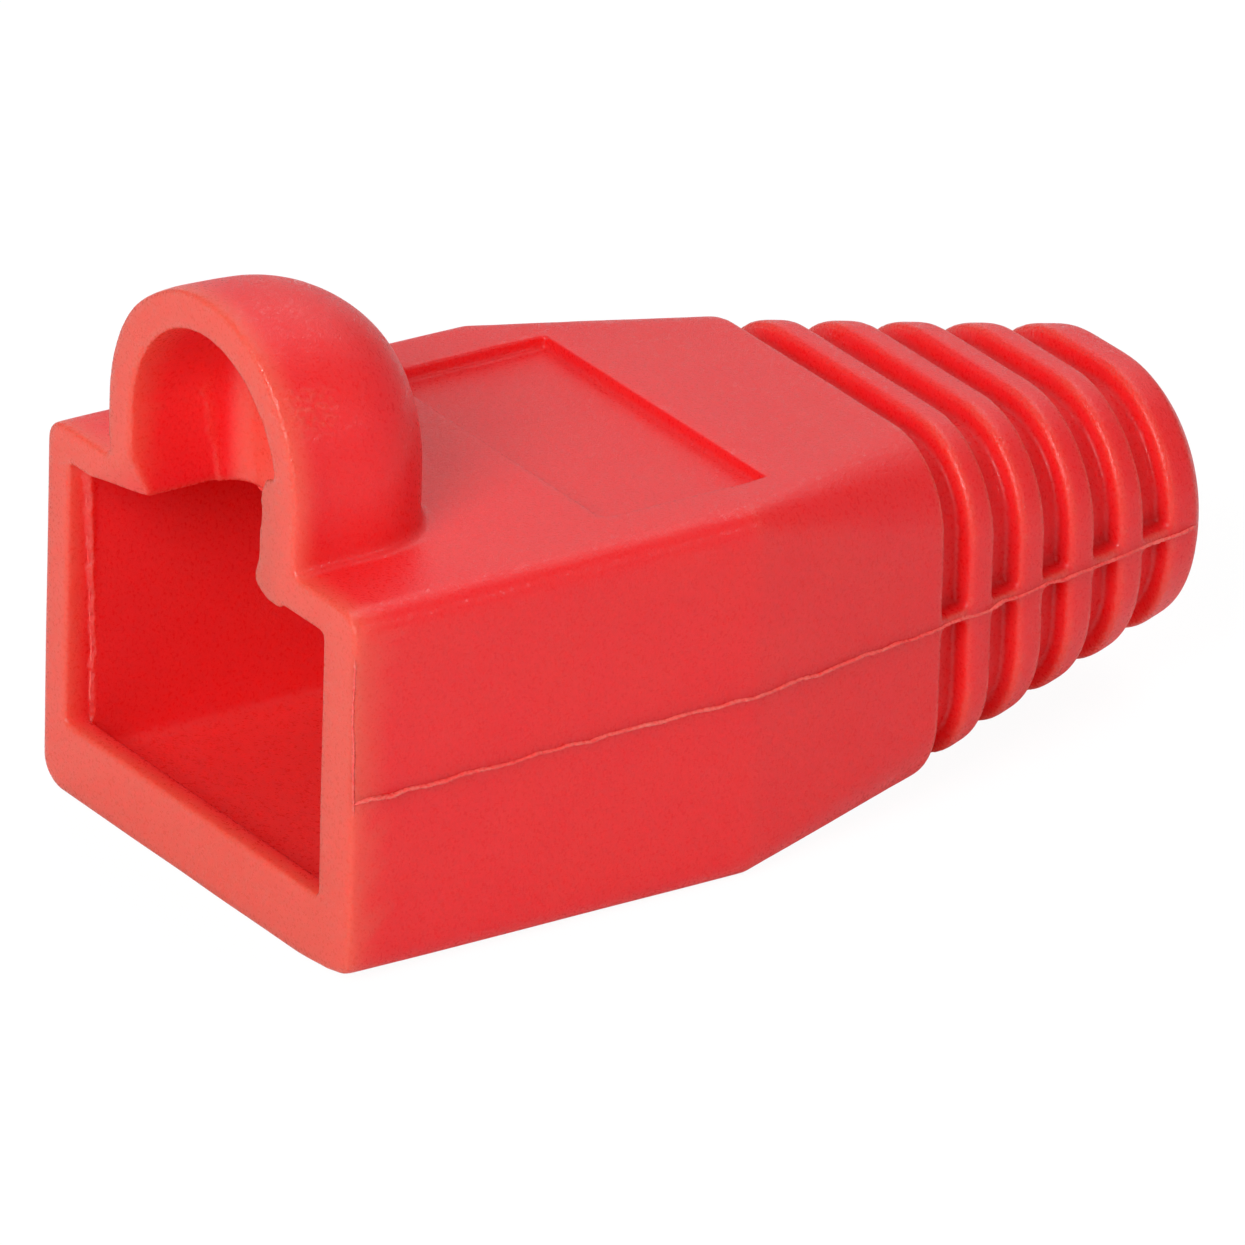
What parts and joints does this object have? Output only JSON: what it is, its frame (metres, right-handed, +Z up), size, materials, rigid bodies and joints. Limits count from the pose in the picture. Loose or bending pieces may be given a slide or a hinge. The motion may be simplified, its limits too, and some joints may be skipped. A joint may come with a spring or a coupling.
{
  "type": "strain relief boot",
  "caption": "Soft moulded strain relief boot for a modular plug: rectangular sleeve with an arched latch hood on top and a ringed, tapering cable end.",
  "frame": {"origin": "under the middle of the boot on its flat underside, halfway between the mouth and the cable end", "axes": "+X across the boot, +Y from the mouth to the cable end, +Z up towards the latch hood"},
  "size_m": [0.014, 0.0276, 0.0158],
  "materials": {
    "soft_pvc": "soft satin red, slightly translucent"
  },
  "bodies": {
    "root": {"boot": "soft_pvc"}
  },
  "joints": []
}
